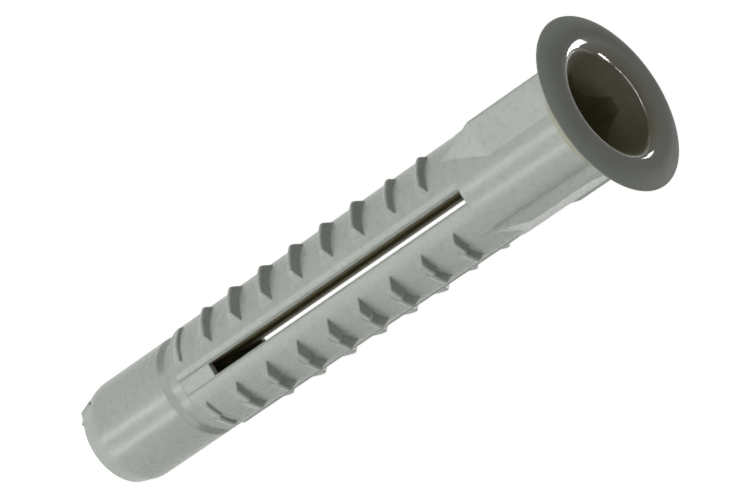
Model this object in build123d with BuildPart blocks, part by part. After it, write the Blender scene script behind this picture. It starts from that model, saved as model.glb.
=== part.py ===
from build123d import *
from math import acos, cos, degrees, radians, sin, sqrt, tan
import os

# Wall plug for a 10 mm hole, moulded as one piece. It stands on its nose end, collar up:
# the axis is +Z, the nose end is at Z = 0, and one of the four slots faces -Y.
# Angles are counted from +X, and the quarters between the slots are centred on the diagonals.

# Overall form (mm, degrees)
length = 60.0
body_radius = 4.89
sleeve_radius = 4.65
collar_radius = 7.94

# Nose: a chamfer that runs smoothly into the sleeve, with a rounded end edge
nose_end_radius = 4.11
nose_chamfer_length = 1.91
nose_chamfer_round = 3.0
nose_edge_round = 0.45

# Ring groove between the smooth sleeve and the slotted body, which begins at the shoulder
sleeve_end = 10.23
groove_slope_length = 0.55
groove_length = 1.91
groove_radius = 4.3

# The two mould halves meet in a plane through the axis. The far half, past the parting angle,
# and most of all its own ribs, sit a little nearer the nose than the near half.
parting_angle = -46.0
far_half_shift = 0.45
far_rib_shift = 0.55
parted_rib_shift = 0.25

# Slots, the flat that is moulded along each of them, and the shallow track in that flat
quarters = 4
slot_width = 1.11
slot_land = 3.58
flat_half_angle = 15.0
flat_run_out = 0.05
track_width = 1.41
track_depth = 0.12

# Ribs on the quarters, counted from the collar end towards the nose
rib_count = 9
rib_pitch = 3.728
rib_land = 2.77
rib_height = 0.88
rib_low_height = 0.63
rib_faint_height = 0.26
rib_base = 1.48
rib_low_base = 1.15
rib_faint_base = 0.85
rib_crest_width = 0.33
rib_back_lean = 0.3
rib_crest_chamfer = 0.1
rib_root_half_angle = 21.3
rib_crest_half_angle = 12.9
rib_end_bulge = 0.08

# Anti-turn wings on the neck, each with a wall, a ridge and a slope down to the body.
# Those on the parting plane are cut to a plane in front, the two between them grow evenly.
wing_radius = 6.55
wing_edge = 0.2
parted_wing_length = 12.65
parted_wing_front = 5.09
parted_wing_rise = 1.65
side_wing_length = 12.45
side_wing_front = 4.76
side_wing_sweep = 27.0
side_wing_steps = 4
far_wing_turn = -1.0

# Neck and collar: a shallow cone underneath, a sharp rim and a domed lip
neck_length = 11.64
neck_root_round = 0.3
cone_height = 1.595
rim_round = 0.04
dome_height = 0.715
dome_radius = 3.53

# Mouth, square screw socket, screw channel and nose hole
mouth_round = 1.31
mouth_lip_width = 0.1
funnel_half_angle = 26.0
socket_width = 6.04
socket_corner_width = 1.21
socket_depth = 11.58
socket_taper_length = 4.04
channel_width = 2.92
nose_hole_radius = 1.46
blade_reach = 2.67
blade_skin = 0.55

# Moulding marks: the parting line and the torn gate stub on the nose edge
flash_height = 0.04
flash_width = 0.14
gate_angle = -135.0
gate_width = 1.27
gate_height = 1.4
gate_high_stand = 0.15
gate_low_stand = 0.03
gate_tear_depth = 0.05
gate_slope = 9.3

# Hidden overlap where one shape is joined to another
overlap = 0.4
hair = 0.05

# Heights that follow from the ones above: the nose is measured from its end, the rest from the top
shoulder = sleeve_end + groove_length
far_shoulder = shoulder - far_half_shift
slot_start = shoulder + slot_land
blade_floor = slot_start - blade_reach
rim_height = length - dome_height
neck_end = rim_height - cone_height
slot_end = neck_end - neck_length
flat_end = slot_end + flat_run_out
rib_last_edge = slot_end - rib_land
parted_wing_start = neck_end - parted_wing_length
side_wing_start = neck_end - side_wing_length
wing_top = neck_end + cone_height * (wing_radius - body_radius) / (collar_radius - body_radius) + overlap / 2
socket_floor = length - socket_depth
socket_taper_start = socket_floor - socket_taper_length

# Radii, distances and angles that follow
diagonal = 180 / quarters
flat_distance = body_radius * cos(radians(flat_half_angle))
track_distance = flat_distance - track_depth
socket_corner_distance = (socket_width * sqrt(2) - socket_corner_width) / 2
socket_corner_cut = socket_corner_width / sqrt(2)
crest_radius = collar_radius - sqrt(dome_radius**2 - (dome_radius - dome_height) ** 2)
tangent_sweep = degrees(acos(body_radius / wing_radius))


def polar_point(radius, angle):
    """A point of the cross-section, from its radius and its angle."""
    return (radius * cos(radians(angle)), radius * sin(radians(angle)))


def radial_plane(angle):
    """The plane through the axis at an angle: local X is the radius, local Y is the height."""
    outward = polar_point(1, angle)
    return Plane(origin=(0, 0, 0), x_dir=(*outward, 0), z_dir=(outward[1], -outward[0], 0))


def rib_sizes(index):
    """Base length and height of a rib: the end ones are low, the one at the shoulder is faint."""
    if index == rib_count - 1:
        return rib_faint_base, rib_faint_height
    if index == rib_count - 2:
        return rib_base, rib_low_height
    if index < 2:
        return rib_low_base, rib_low_height
    return rib_base, rib_height


def rib_outline(index, shift):
    """Corners of one rib, radius and height: a ramp on the nose side, a steep back."""
    base, height = rib_sizes(index)
    back = rib_last_edge - index * rib_pitch - shift
    crest_back = back - rib_back_lean * height
    return [
        (body_radius - overlap, back - base),
        (body_radius, back - base),
        (body_radius + height, crest_back - rib_crest_width),
        (body_radius + height, crest_back),
        (body_radius, back),
        (body_radius - overlap, back),
    ]


# Plan of a rib's ends on one quarter: a block that tapers outwards, with bulging ends
with BuildSketch() as rib_block:
    root = Vector(*polar_point(body_radius, rib_root_half_angle))
    crest = Vector(*polar_point(body_radius + rib_height, rib_crest_half_angle))
    taper = (crest - root).normalized()
    inner = root - taper * overlap
    outer = crest + taper * overlap
    bulge = (root + crest) / 2 + Vector(-taper.Y, taper.X) * rib_end_bulge
    with BuildLine():
        Line((inner.X, -inner.Y), inner)
        ThreePointArc(inner, bulge, outer)
        Line(outer, (outer.X, -outer.Y))
        ThreePointArc((outer.X, -outer.Y), (bulge.X, -bulge.Y), (inner.X, -inner.Y))
    make_face()

# Ribs: turned rings for each stretch of the mould, cut back to a block on each quarter
rib_stretches = [
    (parting_angle + 180, 180, 0),
    (parting_angle, -parting_angle, parted_rib_shift),
    (0, parting_angle + 180, far_rib_shift),
]
with BuildPart() as ribs:
    for start_angle, arc, shift in rib_stretches:
        for rib_index in range(rib_count):
            with BuildSketch(radial_plane(start_angle)) as rib_section:
                with BuildLine():
                    Polyline(*rib_outline(rib_index, shift), close=True)
                make_face()
                chamfer(rib_section.vertices().sort_by(Axis.X)[-2:], rib_crest_chamfer)
            revolve(axis=Axis.Z, revolution_arc=arc)
    with BuildSketch(Plane.XY.offset(shoulder - overlap)):
        with PolarLocations(0, quarters, start_angle=diagonal):
            add(rib_block.sketch)
    extrude(amount=rib_last_edge - shoulder + 2 * overlap, mode=Mode.INTERSECT)
    ribs.part.label = "ribs"


def wing_section(ridge, sweep):
    """Corners of a wing's section: wall along X, ridge, and the slope that runs down to the body."""
    seat = body_radius - hair
    ridge_angle = degrees(wing_edge / ridge)
    return [
        polar_point(body_radius - overlap, 0),
        polar_point(ridge, 0),
        polar_point(ridge, ridge_angle),
        polar_point(seat, ridge_angle + sweep),
        polar_point(body_radius - overlap, ridge_angle + sweep),
    ]


# Parted wing: the full section, cut by a plane that rises from the body to the ridge
with BuildPart() as parted_wing:
    with BuildSketch(Plane.XY.offset(wing_top)):
        Polygon(*wing_section(wing_radius, tangent_sweep), align=None)
    extrude(amount=shoulder - wing_top)
    ridge_slope = parted_wing_front / (wing_radius - body_radius)
    front = Plane(origin=(body_radius, 0, parted_wing_start), z_dir=(-ridge_slope, -parted_wing_rise, 1))
    split(bisect_by=front, keep=Keep.TOP)
    parted_wing.part.label = "parted_wing"

# Side wing: sections that grow from the body's surface to full size, then run into the collar
with BuildPart() as side_wing:
    for step in range(side_wing_steps + 1):
        share = step / side_wing_steps
        ridge = body_radius + share * (wing_radius - body_radius)
        with BuildSketch(Plane.XY.offset(side_wing_start + share * side_wing_front)):
            Polygon(*wing_section(ridge, max(share, hair) * side_wing_sweep), align=None)
    with BuildSketch(Plane.XY.offset(wing_top)):
        Polygon(*wing_section(wing_radius, side_wing_sweep), align=None)
    loft(ruled=True)
    side_wing.part.label = "side_wing"

with BuildPart() as wings:
    with Locations(
        Location((0, 0, 0), (0, 0, parting_angle)),
        Location((0, 0, 0), (0, 0, parting_angle + 180)),
    ):
        add(parted_wing.part)
    with Locations(
        Location((0, 0, -far_rib_shift), (0, 0, parting_angle + 90 + far_wing_turn)),
        Location((0, 0, 0), (0, 0, parting_angle - 90)),
    ):
        add(side_wing.part)
    wings.part.label = "wings"

# Parting line: a hair of flash on the sleeve and between the ribs, on both sides
with BuildPart() as flash:
    for side in (0, 180):
        with BuildSketch(radial_plane(parting_angle + side)):
            with BuildLine():
                Polyline(
                    (groove_radius - overlap, nose_chamfer_length),
                    (sleeve_radius + flash_height, nose_chamfer_length),
                    (sleeve_radius + flash_height, sleeve_end),
                    (groove_radius + flash_height, sleeve_end + groove_slope_length),
                    (groove_radius + flash_height, shoulder),
                    (body_radius + flash_height, shoulder),
                    (body_radius + flash_height, side_wing_start + overlap),
                    (groove_radius - overlap, side_wing_start + overlap),
                    close=True,
                )
            make_face()
        extrude(amount=flash_width / 2, both=True)
    flash.part.label = "flash"

# Gate stub: the torn sprue on the nose edge, higher at one end and hollow in the middle
with BuildPart() as gate:
    with BuildSketch(Plane.XY):
        with Locations(Location((0, 0, 0), (0, 0, gate_angle))):
            Polygon(
                (nose_end_radius - 2 * nose_edge_round, -gate_width / 2),
                (nose_end_radius + gate_high_stand, -gate_width / 2),
                (nose_end_radius - gate_tear_depth, 0),
                (nose_end_radius + gate_low_stand, gate_width / 2),
                (nose_end_radius - 2 * nose_edge_round, gate_width / 2),
                align=None,
            )
    extrude(amount=gate_height, taper=-gate_slope)
    gate.part.label = "gate"

# Screw path: funnel, square socket with its corners cut, tapering square channel, nose hole
with BuildPart() as screw_path:
    with BuildSketch(Plane.XZ):
        with BuildLine():
            mouth = JernArc((crest_radius - mouth_lip_width, length), (-1, 0), mouth_round, 90 - funnel_half_angle)
            funnel_floor_radius = socket_width / 2 - overlap
            funnel_drop = ((mouth @ 1).X - funnel_floor_radius) / tan(radians(funnel_half_angle))
            floor_height = (mouth @ 1).Y - funnel_drop
            Polyline(mouth @ 1, (funnel_floor_radius, floor_height), (0, floor_height), (0, length), mouth @ 0)
        make_face()
    revolve(axis=Axis.Z)
    with BuildSketch(Plane.XY.offset(socket_floor)) as socket_section:
        Rectangle(socket_width, socket_width, rotation=diagonal)
        chamfer(socket_section.vertices(), socket_corner_cut)
    extrude(amount=length - socket_floor)
    with BuildSketch(Plane.XY.offset(socket_taper_start)) as channel_section:
        Rectangle(channel_width, channel_width, rotation=diagonal)
        chamfer(channel_section.vertices(), socket_corner_cut * channel_width / socket_width)
    loft(sections=[channel_section.sketch, socket_section.sketch], ruled=True)
    with BuildSketch(Plane.XY.offset(blade_floor)):
        Rectangle(channel_width, channel_width, rotation=diagonal)
    extrude(amount=socket_taper_start - blade_floor)
    Cylinder(nose_hole_radius, blade_floor + overlap, align=(Align.CENTER, Align.CENTER, Align.MIN))
    screw_path.part.label = "screw_path"

# Slots: they cut right through, and run on inside under a thin skin to the blade floor
with BuildPart() as slots:
    for quarter in range(quarters):
        slot_angle = quarter * 360 / quarters
        on_far_half = parting_angle < slot_angle < parting_angle + 180
        start = slot_start - far_half_shift if on_far_half else slot_start
        cuts = [
            (blade_floor, start, track_distance - blade_skin),
            (start, start + slot_end - slot_start, 2 * body_radius),
            (slot_end - far_half_shift, socket_floor, socket_corner_distance),
        ]
        for bottom, top, reach in cuts:
            with BuildSketch(Plane.XY.offset(bottom)):
                with Locations(Location((0, 0, 0), (0, 0, slot_angle))):
                    Rectangle(reach, slot_width, align=(Align.MIN, Align.CENTER))
            extrude(amount=top - bottom)
    slots.part.label = "slots"

with BuildPart() as wall_plug:
    # Turned outside, with the dome of the lip
    with BuildSketch(Plane.XZ) as turned:
        with BuildLine():
            Polyline(
                (0, 0),
                (nose_end_radius, 0),
                (sleeve_radius, nose_chamfer_length),
                (sleeve_radius, sleeve_end),
                (groove_radius, sleeve_end + groove_slope_length),
                (groove_radius, far_shoulder),
                (body_radius, far_shoulder),
                (body_radius, neck_end),
                (collar_radius, rim_height),
            )
            dome = RadiusArc((collar_radius, rim_height), (crest_radius, length), -dome_radius)
            Polyline(dome @ 1, (0, length), (0, 0))
        make_face()
        rounded_corners = [
            ((nose_end_radius, 0), nose_edge_round),
            ((sleeve_radius, nose_chamfer_length), nose_chamfer_round),
            ((body_radius, neck_end), neck_root_round),
            ((collar_radius, rim_height), rim_round),
        ]
        for corner, corner_round in rounded_corners:
            fillet(turned.vertices().sort_by_distance(corner)[0], corner_round)
    revolve(axis=Axis.Z)

    # Flats along the slots, each with its shallow track
    with BuildSketch(Plane.XY.offset(far_shoulder)):
        with PolarLocations(flat_distance, quarters):
            Rectangle(body_radius, body_radius, align=(Align.MIN, Align.CENTER))
    extrude(amount=flat_end - far_shoulder, mode=Mode.SUBTRACT)
    with BuildSketch(Plane.XY.offset(far_shoulder)):
        with PolarLocations(track_distance, quarters):
            Rectangle(body_radius, track_width, align=(Align.MIN, Align.CENTER))
    extrude(amount=slot_end - far_shoulder, mode=Mode.SUBTRACT)

    # The near half's groove is a little longer
    with BuildSketch(radial_plane(parting_angle + 180)):
        with Locations((groove_radius, far_shoulder)):
            Rectangle(body_radius, far_half_shift, align=(Align.MIN, Align.MIN))
    revolve(axis=Axis.Z, revolution_arc=180, mode=Mode.SUBTRACT)

    # Everything that stands on the outside, then everything the core pin leaves open
    add(ribs.part)
    add(wings.part)
    add(flash.part)
    add(gate.part)
    add(slots.part, mode=Mode.SUBTRACT)
    add(screw_path.part, mode=Mode.SUBTRACT)

os.makedirs("parts", exist_ok=True)
wall_plug.part.label = "wall_plug"
export_step(wall_plug.part, "parts/wall_plug.step")
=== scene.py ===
import math
import bpy
from mathutils import Matrix, Vector

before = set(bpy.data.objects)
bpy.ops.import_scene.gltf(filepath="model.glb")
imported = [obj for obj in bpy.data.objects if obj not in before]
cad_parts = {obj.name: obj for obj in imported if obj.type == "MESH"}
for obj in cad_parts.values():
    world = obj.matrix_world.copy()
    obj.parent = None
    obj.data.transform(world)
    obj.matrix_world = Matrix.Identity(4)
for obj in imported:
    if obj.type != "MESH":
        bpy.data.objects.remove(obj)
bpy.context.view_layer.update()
print("frame loaded:", sorted(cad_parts))

scene = bpy.context.scene
scene.view_settings.view_transform = "Standard"

# Camera: it looks down at the standing plug and is rolled, so that the plug lies across the picture
cameraSetup = {
    "azimuth": -84.6,       # degrees from +X to where the camera stands
    "distance": 0.36968,    # metres from the plug's axis
    "aside": -0.000945,     # metres to the right of that line
    "height": 0.28794,      # metres above the floor
    "tilt": 34.6,           # degrees below the horizon
    "roll": 55.39,          # degrees, turns the plug's axis towards the upper right
    "lens": 264.0,
    "clipStart": 0.01,
}


def placeCamera(setup):
    # position = distance along the azimuth + aside across it + height; turned by azimuth, tilt and roll
    azimuth = math.radians(setup["azimuth"])
    outward = Vector((math.cos(azimuth), math.sin(azimuth), 0))
    across = Vector((-math.sin(azimuth), math.cos(azimuth), 0))
    place = outward * setup["distance"] + across * setup["aside"] + Vector((0, 0, setup["height"]))
    tilt = math.radians(setup["tilt"])
    looks = -outward * math.cos(tilt) - Vector((0, 0, 1)) * math.sin(tilt)
    roll = math.radians(setup["roll"])
    upright = across.cross(looks)
    right = across * math.cos(roll) + upright * math.sin(roll)
    upward = right.cross(looks)
    turn = Matrix((right, upward, -looks)).transposed().to_4x4()
    data = bpy.data.cameras.new("camera")
    data.lens = setup["lens"]
    data.clip_start = setup["clipStart"]
    camera = bpy.data.objects.new("camera", data)
    camera.matrix_world = Matrix.Translation(place) @ turn
    scene.collection.objects.link(camera)
    scene.camera = camera


placeCamera(cameraSetup)
print("camera placed")

# Studio: a white floor, a surround that is white at the horizon and dark overhead, and area lamps.
# Two narrow lamps stand below the nose, in front of the plug, and give its body two pale strips.
studio = {
    "floorSize": 3.0,
    "floorColor": (0.86, 0.86, 0.86, 1),
    "floorGlow": 0.90,              # what the camera and reflections see on top of the lit paper
    "worldColor": (1.0, 0.97, 0.86, 1),
    "horizonWhite": (1, 1, 1, 1),
    "overheadGrey": (0.16, 0.16, 0.15, 1),
    "whiteUpTo": 0.07,              # heights on the unit sphere: white up to here
    "overheadFrom": 0.17,           # and dark from here
    "worldStrength": 0.10,          # the surround's light on surfaces
}
lamps = {
    # name: (azimuth from the camera's side, elevation, (width, height), strength, what it lights)
    # angles in degrees and sizes in metres; strength is the brightness of a white surface facing the lamp
    "stripLeft": (-18, -34.6, (0.05, 0.45), 0.275, "both"),
    "stripRight": (18, -34.6, (0.05, 0.45), 0.275, "both"),
    "sideLeft": (-62, 3, (0.40, 0.08), 0.30, "both"),
    "sideRight": (52, 3, (0.40, 0.08), 0.22, "light"),
    "backLeft": (-158, -14, (0.50, 0.10), 0.34, "light"),
    "backRight": (160, -14, (0.50, 0.10), 0.34, "light"),
    "mouthArcLeft": (-38, 22, (0.50, 0.06), 0.36, "gloss"),
    "mouthArcMiddle": (14, 22, (0.60, 0.06), 0.40, "gloss"),
    "mouthArcRight": (70, 22, (0.60, 0.06), 0.40, "gloss"),
    "mouthBackRight": (158, 25, (0.20, 0.20), 0.45, "gloss"),
    "mouthBackLeft": (-160, 24, (0.13, 0.07), 0.09, "gloss"),
}
lampDistance = 0.6
lampTarget = Vector((0, 0, 0.04))


def newMaterial(name):
    material = bpy.data.materials.new(name)
    material.use_nodes = True
    material.node_tree.nodes.clear()
    return material, material.node_tree.nodes, material.node_tree.links


def seenDirectly(nodes, links):
    # 1 for camera, glossy and transmission rays, 0 for the rays that carry light to surfaces
    rays = nodes.new("ShaderNodeLightPath")
    first = nodes.new("ShaderNodeMath")
    first.operation = "MAXIMUM"
    links.new(rays.outputs["Is Camera Ray"], first.inputs[0])
    links.new(rays.outputs["Is Glossy Ray"], first.inputs[1])
    both = nodes.new("ShaderNodeMath")
    both.operation = "MAXIMUM"
    links.new(first.outputs["Value"], both.inputs[0])
    links.new(rays.outputs["Is Transmission Ray"], both.inputs[1])
    return both.outputs["Value"]


def makeFloor(setup):
    half = setup["floorSize"] / 2
    mesh = bpy.data.meshes.new("floor")
    corners = [(-half, -half, 0), (half, -half, 0), (half, half, 0), (-half, half, 0)]
    mesh.from_pydata(corners, [], [(0, 1, 2, 3)])
    floor = bpy.data.objects.new("floor", mesh)
    scene.collection.objects.link(floor)
    material, nodes, links = newMaterial("floorPaper")
    diffuse = nodes.new("ShaderNodeBsdfDiffuse")
    diffuse.inputs["Color"].default_value = setup["floorColor"]
    glow = nodes.new("ShaderNodeEmission")
    glowStrength = nodes.new("ShaderNodeMath")
    glowStrength.operation = "MULTIPLY"
    glowStrength.inputs[1].default_value = setup["floorGlow"]
    links.new(seenDirectly(nodes, links), glowStrength.inputs[0])
    links.new(glowStrength.outputs["Value"], glow.inputs["Strength"])
    paper = nodes.new("ShaderNodeAddShader")
    links.new(diffuse.outputs["BSDF"], paper.inputs[0])
    links.new(glow.outputs["Emission"], paper.inputs[1])
    out = nodes.new("ShaderNodeOutputMaterial")
    links.new(paper.outputs["Shader"], out.inputs["Surface"])
    mesh.materials.append(material)
    # the lamps below it shine up through it, as through a light table
    floor.visible_glossy = False
    floor.visible_shadow = False


def makeWorld(setup):
    # seen directly: white at the horizon, darker overhead; as light on surfaces: one even dim tone
    world = bpy.data.worlds.new("studio")
    world.use_nodes = True
    scene.world = world
    nodes = world.node_tree.nodes
    links = world.node_tree.links
    coords = nodes.new("ShaderNodeTexCoord")
    parts = nodes.new("ShaderNodeSeparateXYZ")
    links.new(coords.outputs["Generated"], parts.inputs["Vector"])
    rise = nodes.new("ShaderNodeMapRange")
    rise.inputs["From Min"].default_value = setup["whiteUpTo"]
    rise.inputs["From Max"].default_value = setup["overheadFrom"]
    links.new(parts.outputs["Z"], rise.inputs["Value"])
    surround = nodes.new("ShaderNodeMix")
    surround.data_type = "RGBA"
    surround.inputs["A"].default_value = setup["horizonWhite"]
    surround.inputs["B"].default_value = setup["overheadGrey"]
    links.new(rise.outputs["Result"], surround.inputs["Factor"])
    seenColor = nodes["Background"]
    links.new(surround.outputs["Result"], seenColor.inputs["Color"])
    ambient = nodes.new("ShaderNodeBackground")
    ambient.inputs["Color"].default_value = setup["worldColor"]
    ambient.inputs["Strength"].default_value = setup["worldStrength"]
    choice = nodes.new("ShaderNodeMixShader")
    links.new(seenDirectly(nodes, links), choice.inputs["Fac"])
    links.new(ambient.outputs["Background"], choice.inputs[1])
    links.new(seenColor.outputs["Background"], choice.inputs[2])
    links.new(choice.outputs["Shader"], nodes["World Output"].inputs["Surface"])


def addLamp(name, azimuth, elevation, size, strength, use):
    # place = target + distance along azimuth and elevation; watts = pi^2 * distance^2 * strength
    turn = math.radians(cameraSetup["azimuth"] + azimuth)
    rise = math.radians(elevation)
    way = Vector((math.cos(turn) * math.cos(rise), math.sin(turn) * math.cos(rise), math.sin(rise)))
    data = bpy.data.lights.new(name, "AREA")
    data.shape = "RECTANGLE"
    data.size, data.size_y = size
    data.energy = math.pi ** 2 * lampDistance ** 2 * strength
    lamp = bpy.data.objects.new(name, data)
    lamp.location = lampTarget + way * lampDistance
    lamp.rotation_euler = (-way).to_track_quat("-Z", "Y").to_euler()
    lamp.visible_camera = False
    lamp.visible_diffuse = use != "gloss"
    lamp.visible_glossy = use != "light"
    scene.collection.objects.link(lamp)


makeFloor(studio)
makeWorld(studio)
for lampName, lampSetup in lamps.items():
    addLamp(lampName, *lampSetup)
print("studio set up")

# Plastic of the plug: grey nylon with a green cast, satin on the body, dull on the collar and in the
# bore, and polished at the lip of the mouth. Lengths in metres, heights above the floor.
plastic = {
    "color": (0.405, 0.445, 0.405, 1),
    "paleColor": (0.455, 0.490, 0.452, 1),      # flow clouds in the moulding
    "boreShadeColor": (0.380, 0.345, 0.210, 1),      # painted shade: a darker, yellower colour on deep surfaces
    "partingColor": (0.52, 0.56, 0.52, 1),
    "speckColor": (0.10, 0.11, 0.10, 1),
    "cloudScale": 420.0,            # per metre: clouds of about 2 mm
    "cloudDetail": 2.0,
    "cloudStretch": (1.0, 1.0, 0.45),           # clouds are longer along the plug
    "cloudShare": 0.55,
    "mottleScale": 1700.0,          # mottling of about 0.6 mm
    "mottleDetail": 3.0,
    "mottleShare": 0.45,
    "grainScale": 7000.0,           # grain of about 0.15 mm
    "grainDetail": 2.0,
    "toneRange": (0.32, 0.68),      # from color to paleColor
    "mottleHeight": 0.0000028,
    "grainHeight": 0.0000010,
    "edgeRadius": 0.00025,          # moulded edges look this round
    "ior": 1.53,
    "specular": 0.36,
    "partingAngle": -46.0,          # degrees from +X
    "partingWidth": 0.00009,
    "flashTop": 0.0462,             # the line ends at this height
    "speckScale": 420.0,
    "speckRadius": 0.035,           # share of a cell
    "speckShare": 0.05,             # share of the cells that hold a speck
    "speckStrength": 0.7,
    "roughBody": (0.25, 0.33),
    "roughDeep": (0.65, 0.75),      # collar and bore
    "roughRange": (0.3, 0.7),       # of the mottling, from the first roughness to the second
    "collarBottom": 0.0570,
    "lipFrom": 0.0060,              # from the axis: the polish begins here
    "lipFull": 0.0057,              # and is full from here inwards
    "lipBottom": 0.0592,
    "lipFade": 0.0001,
    "lipRoughness": 0.08,
    "lipIor": 1.9,
    "creaseReach": 0.0006,          # painted shade darkens creases over this distance
    "creaseRange": (0.25, 0.85),    # openness, from the darkest to the plain tone
    "creaseShade": 0.62,
    "boreFrom": 0.0043,             # from the axis: the painted shade of the bore begins here
    "boreFull": 0.0036,
    "boreFade": (0.0004, 0.002),    # heights over which it fades out at the nose end
    "mouthFrom": 0.0054,            # the same inside the collar
    "mouthFull": 0.0044,
    "samples": 6,                   # of the crease and edge nodes
}


def makePlastic(setup):
    material, nodes, links = newMaterial("greyNylon")

    def add(kind, **values):
        node = nodes.new("ShaderNode" + kind)
        for key, value in values.items():
            setattr(node, key, value)
        return node

    def math2(operation, first, second):
        node = add("Math", operation=operation)
        for index, value in enumerate((first, second)):
            if isinstance(value, (int, float)):
                node.inputs[index].default_value = value
            else:
                links.new(value, node.inputs[index])
        return node.outputs["Value"]

    def spread(value, low, high, toLow=0.0, toHigh=1.0):
        node = add("MapRange")
        links.new(value, node.inputs["Value"])
        limits = {"From Min": low, "From Max": high, "To Min": toLow, "To Max": toHigh}
        for name, limit in limits.items():
            node.inputs[name].default_value = limit
        return node.outputs["Result"]

    def blendColor(factor, first, second):
        node = add("Mix", data_type="RGBA")
        links.new(factor, node.inputs["Factor"])
        for socket, value in ((node.inputs["A"], first), (node.inputs["B"], second)):
            if isinstance(value, tuple):
                socket.default_value = value
            else:
                links.new(value, socket)
        return node.outputs["Result"]

    def noise(name, coords):
        node = add("TexNoise")
        node.inputs["Scale"].default_value = setup[name + "Scale"]
        node.inputs["Detail"].default_value = setup[name + "Detail"]
        links.new(coords, node.inputs["Vector"])
        return node.outputs["Fac"]

    place = add("TexCoord").outputs["Object"]
    parts = add("SeparateXYZ")
    links.new(place, parts.inputs["Vector"])
    level = add("CombineXYZ")
    links.new(parts.outputs["X"], level.inputs["X"])
    links.new(parts.outputs["Y"], level.inputs["Y"])
    span = add("VectorMath", operation="LENGTH")
    links.new(level.outputs["Vector"], span.inputs[0])
    axisDistance = span.outputs["Value"]
    height = parts.outputs["Z"]

    # Masks: deep in the bore, polished mouth, parting line
    aboveNeck = math2("GREATER_THAN", height, setup["collarBottom"])
    nearBore = spread(axisDistance, setup["boreFrom"], setup["boreFull"])
    inBore = math2("MULTIPLY", nearBore, spread(height, *setup["boreFade"]))
    nearMouth = spread(axisDistance, setup["mouthFrom"], setup["mouthFull"])
    inMouth = math2("MULTIPLY", nearMouth, aboveNeck)
    deep = math2("MAXIMUM", inBore, inMouth)
    lipTop = spread(height, setup["lipBottom"], setup["lipBottom"] + setup["lipFade"])
    polished = math2("MULTIPLY", spread(axisDistance, setup["lipFrom"], setup["lipFull"]), lipTop)
    parting = add("VectorMath", operation="DOT_PRODUCT")
    links.new(place, parting.inputs[0])
    turn = math.radians(setup["partingAngle"] + 90)
    parting.inputs[1].default_value = (math.cos(turn), math.sin(turn), 0)
    offLine = math2("ABSOLUTE", parting.outputs["Value"], 0)
    onLine = spread(offLine, setup["partingWidth"], setup["partingWidth"] / 2)
    outside = spread(axisDistance, setup["boreFull"], setup["boreFrom"])
    belowTop = math2("LESS_THAN", height, setup["flashTop"])
    flashLine = math2("MULTIPLY", math2("MULTIPLY", onLine, outside), belowTop)

    # Colour: clouds, mottling, a few specks, the parting line, and painted shade deep in the bore and
    # mouth
    flow = add("Mapping")
    flow.inputs["Scale"].default_value = setup["cloudStretch"]
    links.new(place, flow.inputs["Vector"])
    cloud = noise("cloud", flow.outputs["Vector"])
    mottle = noise("mottle", place)
    grain = noise("grain", place)
    cloudPart = math2("MULTIPLY", cloud, setup["cloudShare"])
    tone = math2("ADD", cloudPart, math2("MULTIPLY", mottle, setup["mottleShare"]))
    color = blendColor(spread(tone, *setup["toneRange"]), setup["color"], setup["paleColor"])
    cells = add("TexVoronoi")
    cells.inputs["Scale"].default_value = setup["speckScale"]
    links.new(place, cells.inputs["Vector"])
    chance = add("SeparateColor")
    links.new(cells.outputs["Color"], chance.inputs["Color"])
    chosen = math2("LESS_THAN", chance.outputs["Red"], setup["speckShare"])
    spot = spread(cells.outputs["Distance"], setup["speckRadius"] * 2, setup["speckRadius"])
    speck = math2("MULTIPLY", chosen, spot)
    color = blendColor(math2("MULTIPLY", speck, setup["speckStrength"]), color, setup["speckColor"])
    color = blendColor(flashLine, color, setup["partingColor"])
    # painted shade: the bore and the inside of the collar get a darker, yellower colour
    color = blendColor(deep, color, setup["boreShadeColor"])

    # Painted shade in creases: the closed corners of ribs, slots and wings are darkened in colour where
    # ambient occlusion finds them enclosed
    creaseOcclusion = add("AmbientOcclusion", samples=setup["samples"])
    creaseOcclusion.inputs["Distance"].default_value = setup["creaseReach"]
    paintedCreaseShade = spread(creaseOcclusion.outputs["AO"], *setup["creaseRange"], setup["creaseShade"], 1.0)
    shaded = add("VectorMath", operation="SCALE")
    links.new(color, shaded.inputs[0])
    links.new(paintedCreaseShade, shaded.inputs["Scale"])
    color = shaded.outputs["Vector"]

    # Normal: softly rounded edges, then mottling and grain
    edges = add("Bevel", samples=setup["samples"])
    edges.inputs["Radius"].default_value = setup["edgeRadius"]
    waves = add("Bump")
    waves.inputs["Distance"].default_value = setup["mottleHeight"]
    links.new(mottle, waves.inputs["Height"])
    links.new(edges.outputs["Normal"], waves.inputs["Normal"])
    fine = add("Bump")
    fine.inputs["Distance"].default_value = setup["grainHeight"]
    links.new(grain, fine.inputs["Height"])
    links.new(waves.outputs["Normal"], fine.inputs["Normal"])

    # Roughness: satin body, dull collar and bore, both a little uneven
    satin = spread(mottle, *setup["roughRange"], *setup["roughBody"])
    dull = spread(mottle, *setup["roughRange"], *setup["roughDeep"])
    rough = add("Mix", data_type="FLOAT")
    links.new(math2("MAXIMUM", deep, aboveNeck), rough.inputs["Factor"])
    links.new(satin, rough.inputs["A"])
    links.new(dull, rough.inputs["B"])

    shader = add("BsdfPrincipled")
    shader.inputs["IOR"].default_value = setup["ior"]
    shader.inputs["Specular IOR Level"].default_value = setup["specular"]
    links.new(color, shader.inputs["Base Color"])
    links.new(rough.outputs["Result"], shader.inputs["Roughness"])
    links.new(polished, shader.inputs["Coat Weight"])
    shader.inputs["Coat Roughness"].default_value = setup["lipRoughness"]
    shader.inputs["Coat IOR"].default_value = setup["lipIor"]
    links.new(fine.outputs["Normal"], shader.inputs["Normal"])
    out = add("OutputMaterial")
    links.new(shader.outputs["BSDF"], out.inputs["Surface"])
    return material


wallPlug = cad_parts["wall_plug"]
greyNylon = makePlastic(plastic)
for slot in wallPlug.material_slots:
    slot.material = greyNylon
print("plastic applied")
